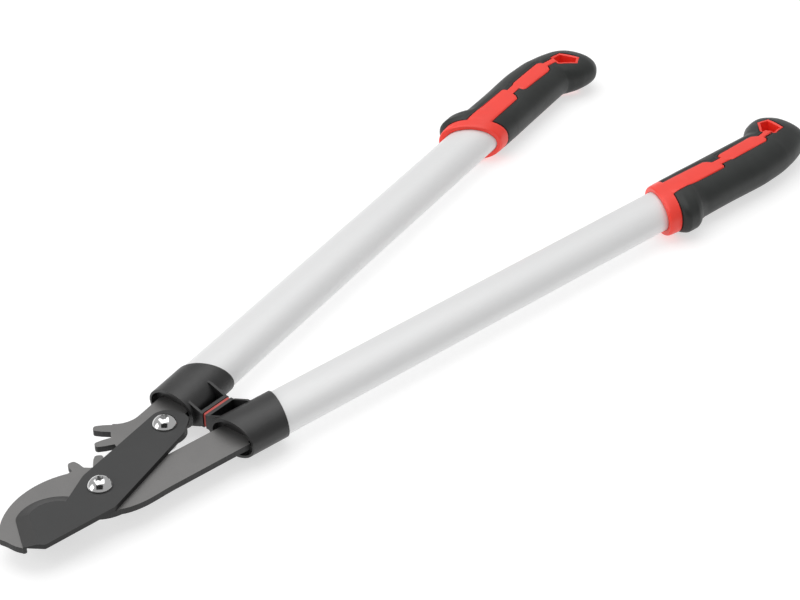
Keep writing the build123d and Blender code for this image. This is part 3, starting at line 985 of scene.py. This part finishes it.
    @staticmethod
    def widened(
        outline: tuple[tuple[float, float], ...], by: float
    ) -> tuple[tuple[float, float], ...]:
        """An outline moved outwards.

        Args:
            outline: A closed outline, either way round.
            by: How far its sides move.

        Returns:
            The new corners.
        """
        corners = np.array(outline)
        edges = np.roll(corners, -1, axis=0) - corners
        turning = np.sign(np.sum(corners[:, 0] * edges[:, 1] - corners[:, 1] * edges[:, 0]))
        normals = turning * np.c_[edges[:, 1], -edges[:, 0]] / np.hypot(*edges.T)[:, None]
        before = np.roll(normals, 1, axis=0)
        bisectors = normals + before
        moved = corners + bisectors * by / np.sum(bisectors * normals, axis=1)[:, None]
        return tuple(tuple(corner) for corner in moved)

    def rod(
        self, half_width: float, half_height: float, end: float, side: Side
    ) -> bpy.types.Object:
        """An elliptical rod on the tube's axis, from ahead of the grip.

        Args:
            half_width: Its half width.
            half_height: Its half height.
            end: Where it ends, along the tube.
            side: Which handle.

        Returns:
            The object.
        """
        angle = np.linspace(0, 2 * math.pi, self.rod_sides, endpoint=False)
        plan = np.c_[half_width * np.cos(angle), half_height * np.sin(angle)]
        points, faces = prism_mesh(plan, self.rod_start, end)
        return self.make("rod", points[:, [2, 0, 1]], faces, side)

    def slab(self, start: float, end: float) -> tuple[tuple[float, float], ...]:
        """Plan of a slanted slice across the grip.

        Args:
            start: Its front, along the tube.
            end: Its rear.

        Returns:
            Its four corners.
        """
        reach = self.tool_reach
        corners = ((start, -reach), (end, -reach), (end, reach), (start, reach))
        return tuple((place - self.front_slant * across, across) for place, across in corners)


@dataclass
class Grip:
    """One handle's grip: a red core that shows through a dark soft cover."""

    side: Side
    form: GripForm = field(default_factory=GripForm)

    def build(self) -> None:
        """Makes both pieces, and puts them in place of their CAD nodes."""
        form, side = self.form, self.side
        reach = form.front + form.ring_width
        floor, top = form.strip_floor, form.tool_reach
        border = form.widened(form.hole, form.frame_width)
        red_space = form.prism("red_space", form.slab(form.rod_start, reach), -top, top, side)
        strips = [
            form.prism("strip_top", form.strip, floor, top, side),
            form.prism("strip_bottom", form.strip, -top, -floor, side),
        ]
        joins = [*strips, form.prism("hang_border", border, -top, top, side)]
        for tool in joins:
            combine(red_space, tool, "UNION")
        core = form.make(f"{side.name.lower()}_grip_red_core", *form.surface(side), side)
        hollows = [form.rod(*form.tube, side), form.prism("hang_hole", form.hole, -top, top, side)]
        for hollow in hollows:
            combine(core, hollow, "DIFFERENCE")
        cover = core.copy()
        cover.data = core.data.copy()
        cover.name = f"{side.name.lower()}_grip_soft_cover"
        bpy.context.scene.collection.objects.link(cover)
        combine(core, red_space, "INTERSECT")
        combine(cover, red_space, "DIFFERENCE")
        gaps = self._seam_gaps(reach, border)
        for gap in gaps:
            combine(cover, gap, "DIFFERENCE")
        for tool in (*joins, *hollows, *gaps, red_space):
            bpy.data.objects.remove(tool)
        pieces = ((core, GRIP_RED, "grip_core"), (cover, GRIP_RUBBER, "grip_cover"))
        for piece, finish, node in pieces:
            smooth(piece)
            dress(piece, finish)
            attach(piece, side.body)
            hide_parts(side.node(node))
            LOG.info("%s has %d faces", piece.name, len(piece.data.polygons))

    def _seam_gaps(
        self, reach: float, border: tuple[tuple[float, float], ...]
    ) -> list[bpy.types.Object]:
        """Narrow gaps to cut in the cover, round the red ring, strips and hole border.

        Args:
            reach: The ring's rear edge, along the tube.
            border: The hole border's outline.

        Returns:
            The gaps as solids.
        """
        form, side, top = self.form, self.side, self.form.tool_reach
        ring = form.prism("ring_gap", form.slab(form.rod_start, reach + form.gap), -top, top, side)
        core = form.rod(*form.gap_rod, form.tube[2], side)
        combine(ring, core, "DIFFERENCE")
        bpy.data.objects.remove(core)
        gaps = [ring]
        for outline in (form.strip, border):
            wide = form.widened(outline, form.gap)
            gaps.append(form.prism("gap_top", wide, form.gap_floor, top, side))
            gaps.append(form.prism("gap_bottom", wide, -top, -form.gap_floor, side))
        return gaps


# --- head and tubes -----------------------------------------------------------------------------


class Drive(Enum):
    """Recesses that the two bolts are turned by."""

    LOBED = "main_bolt"
    HEXAGON = "gear_bolt"

    def plan(self, size: float) -> np.ndarray:
        """The recess's outline about the bolt's axis.

        Args:
            size: Its mean radius.

        Returns:
            Its corners.
        """
        if self is Drive.HEXAGON:
            angle = np.radians(np.arange(30, 390, 60))
            radius = np.full(len(angle), size / math.cos(math.radians(30)))
        else:
            angle = np.linspace(0, 2 * math.pi, LOBE_POINTS, endpoint=False)
            radius = size * (1 + LOBE_DEPTH * np.cos(LOBES * angle))
        return np.c_[radius * np.cos(angle), radius * np.sin(angle)]


@dataclass
class DomeBolt:
    """A bright domed bolt, turned smooth, in millimetres."""

    drive: Drive
    head_radius: float = 7.8
    seat: float = 5.3
    rim: float = 0.8
    dome: float = 4.9
    edge: float = 0.25
    shank: float = 4.0
    tip_chamfer: float = 0.6
    drive_size: float = 2.55
    drive_depth: float = 2.7
    dome_steps: int = 40
    turns: int = 96
    # Tilt in radians of the ring nearest the crown, and the angle in degrees that stays sharp.
    crown_tilt: float = 0.02
    sharp: float = 30.0

    def profile(self, end: float) -> np.ndarray:
        """Radius and height of each ring, upwards.

        Args:
            end: Height of the bolt's tip.

        Returns:
            The rings.
        """
        head, foot = self.head_radius, self.seat + self.rim
        ball = (head**2 + self.dome**2) / (2 * self.dome)
        widest = math.asin(head / ball)
        tilt = np.linspace(widest, self.crown_tilt, self.dome_steps)
        crown = np.c_[ball * np.sin(tilt), foot + self.dome - ball + ball * np.cos(tilt)]
        lower = [
            (self.shank - self.tip_chamfer, end), (self.shank, end + self.tip_chamfer),
            (self.shank, self.seat), (head - self.edge, self.seat), (head, self.seat + self.edge),
        ]
        return np.vstack([lower, crown])

    def build(self) -> None:
        """Makes the bolt in place of its CAD node."""
        low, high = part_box(self.drive.value)
        middle = np.array([(low[0] + high[0]) / 2, (low[1] + high[1]) / 2, 0.0])
        points, faces = lathe_mesh(self.profile(low[2] / MM), self.turns)
        piece = new_object(f"domed_{self.drive.value}", points * MM + middle, faces)
        top = self.seat + self.rim + self.dome
        points, faces = prism_mesh(self.drive.plan(self.drive_size), top - self.drive_depth, 2 * top)
        recess = new_object("recess", points * MM + middle, faces)
        combine(piece, recess, "DIFFERENCE")
        bpy.data.objects.remove(recess)
        smooth(piece, self.sharp)
        dress(piece, CHROME)
        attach(piece, "blade")
        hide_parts(self.drive.value)


@dataclass
class Head:
    """Levers, blade and pivots."""

    def build(self) -> None:
        """Dresses the head's CAD nodes."""
        CadDress(LEVER_STEEL, ("hook_lever", "gear_lever"), 0.35 * MM).apply()
        CadDress(BLADE_COAT, ("cutting_blade",), 0.22 * MM).apply()
        for drive in Drive:
            DomeBolt(drive).build()
        CadDress(ZINC, ("pivot_washers", "lock_nuts"), 0.25 * MM).apply()
        CadDress(BUSH_STEEL, ("pivot_bushes",)).apply()
        CadDress(NYLON, ("lock_rings",)).apply()


@dataclass
class Handle:
    """One tube with its collar, insert, pins and grip."""

    side: Side

    def build(self) -> None:
        """Dresses the CAD nodes and builds the grip."""
        CadDress(TUBE, (self.side.node("tube"),)).apply()
        CadDress(COLLAR_NYLON, (self.side.node("collar"),), 0.45 * MM, 3).apply()
        CadDress(TANG_NYLON, (self.side.node("tang_core"),)).apply()
        CadDress(ZINC, (self.side.node("tang_pins"),)).apply()
        Grip(self.side).build()


# --- studio -------------------------------------------------------------------------------------


@dataclass
class Studio:
    """Pale floor, soft lights and the camera."""

    eye: tuple[float, float, float] = (-0.72472, -0.84049, 0.83784)
    right: tuple[float, float, float] = (0.62881, -0.77716, -0.02486)
    up: tuple[float, float, float] = (0.43561, 0.32561, 0.83918)
    lens: float = 104.73
    sensor: float = 36.0
    surround: float = 0.5
    floor_half: float = 6.0
    floor_gap: float = 0.0003
    floor_tone: float = 0.5
    floor_glow: float = 0.6
    # The black card: bearing and height in degrees, distance, half width and half height.
    flag_turn: float = 219.9
    flag_rise: float = 54.0
    flag_distance: float = 1.8
    flag_half: tuple[float, float] = (0.9, 0.62)
    # Each lamp: name, place, side and watts; all point at the same place.
    lamps: tuple[tuple[str, tuple[float, float, float], float, float], ...] = (
        ("overhead", (0.5, 0.5, 1.9), 2.4, 27.0),
        ("left_fill", (-1.6, 1.3, 0.9), 1.2, 13.0),
    )
    lamp_aim: tuple[float, float, float] = (0.2, 0.0, 0.0)

    @staticmethod
    def _corners(wide: float, high: float) -> tuple[tuple[float, float], ...]:
        """Corners of a rectangle about the origin, from its half width and half height."""
        return ((-wide, -high), (wide, -high), (wide, high), (-wide, high))

    def floor(self) -> None:
        """A flat pale floor just below the lowest point."""
        height = CAD_BOUNDS[0][2] - self.floor_gap
        corners = self._corners(self.floor_half, self.floor_half)
        points = np.array([(x, y, height) for x, y in corners])
        sheet = new_object("floor", points, [(0, 1, 2, 3)])
        paint = Kit("pale_floor").finish(
            Base_Color=grey(self.floor_tone), Roughness=0.9,
            Emission_Color=grey(1.0), Emission_Strength=self.floor_glow,
        )
        sheet.data.materials.append(paint)

    def flag(self) -> None:
        """A black card behind the camera, seen only as a dark reflection in polished metal."""
        turn, rise = math.radians(self.flag_turn), math.radians(self.flag_rise)
        level = math.cos(rise)
        towards = Vector((level * math.cos(turn), level * math.sin(turn), math.sin(rise)))
        beside = Vector((-math.sin(turn), math.cos(turn), 0.0))
        over = towards.cross(beside)
        middle = towards * self.flag_distance
        points = [middle + beside * x + over * y for x, y in self._corners(*self.flag_half)]
        card = new_object("black_flag", np.array(points), [(0, 1, 2, 3)])
        card.data.materials.append(Kit("black_card").finish(Base_Color=grey(0.01), Roughness=0.95))
        for rays in ("camera", "diffuse", "shadow", "transmission"):
            setattr(card, f"visible_{rays}", False)

    def lamp(
        self, name: str, place: tuple[float, float, float], size: float, watts: float
    ) -> None:
        """A soft square lamp that points at the object.

        Args:
            name: The lamp's name.
            place: Where it hangs.
            size: Its side.
            watts: Its power.
        """
        data = bpy.data.lights.new(name, "AREA")
        data.size = size
        data.energy = watts
        lamp = bpy.data.objects.new(name, data)
        lamp.location = place
        aim = Vector(self.lamp_aim) - Vector(place)
        lamp.rotation_euler = aim.to_track_quat("-Z", "Y").to_euler()
        bpy.context.scene.collection.objects.link(lamp)

    def world(self) -> None:
        """An even pale surround."""
        world = bpy.data.worlds.new("surround")
        world.use_nodes = True
        back = world.node_tree.nodes["Background"]
        back.inputs["Color"].default_value = (1.0, 1.0, 1.0, 1.0)
        back.inputs["Strength"].default_value = self.surround
        bpy.context.scene.world = world

    def camera(self) -> None:
        """The camera, at the reference view."""
        data = bpy.data.cameras.new("camera")
        data.lens = self.lens
        data.sensor_width = self.sensor
        camera = bpy.data.objects.new("camera", data)
        back = Vector(self.right).cross(Vector(self.up))
        turn = Matrix((self.right, self.up, back)).transposed().to_4x4()
        camera.matrix_world = Matrix.Translation(self.eye) @ turn
        bpy.context.scene.collection.objects.link(camera)
        bpy.context.scene.camera = camera

    def build(self) -> None:
        """Makes the studio."""
        bpy.context.scene.view_settings.view_transform = "Standard"
        self.camera()
        self.world()
        self.floor()
        self.flag()
        for lamp in self.lamps:
            self.lamp(*lamp)


def main() -> None:
    """Builds the object and its studio in order."""
    logging.basicConfig(level=logging.INFO, format="%(name)s: %(message)s")
    Head().build()
    CadDress(PAD_RUBBER, ("bumper_pad",), 0.4 * MM, 3).apply()
    for side in Side:
        Handle(side).build()
    Studio().build()


if __name__ == "__main__":
    main()
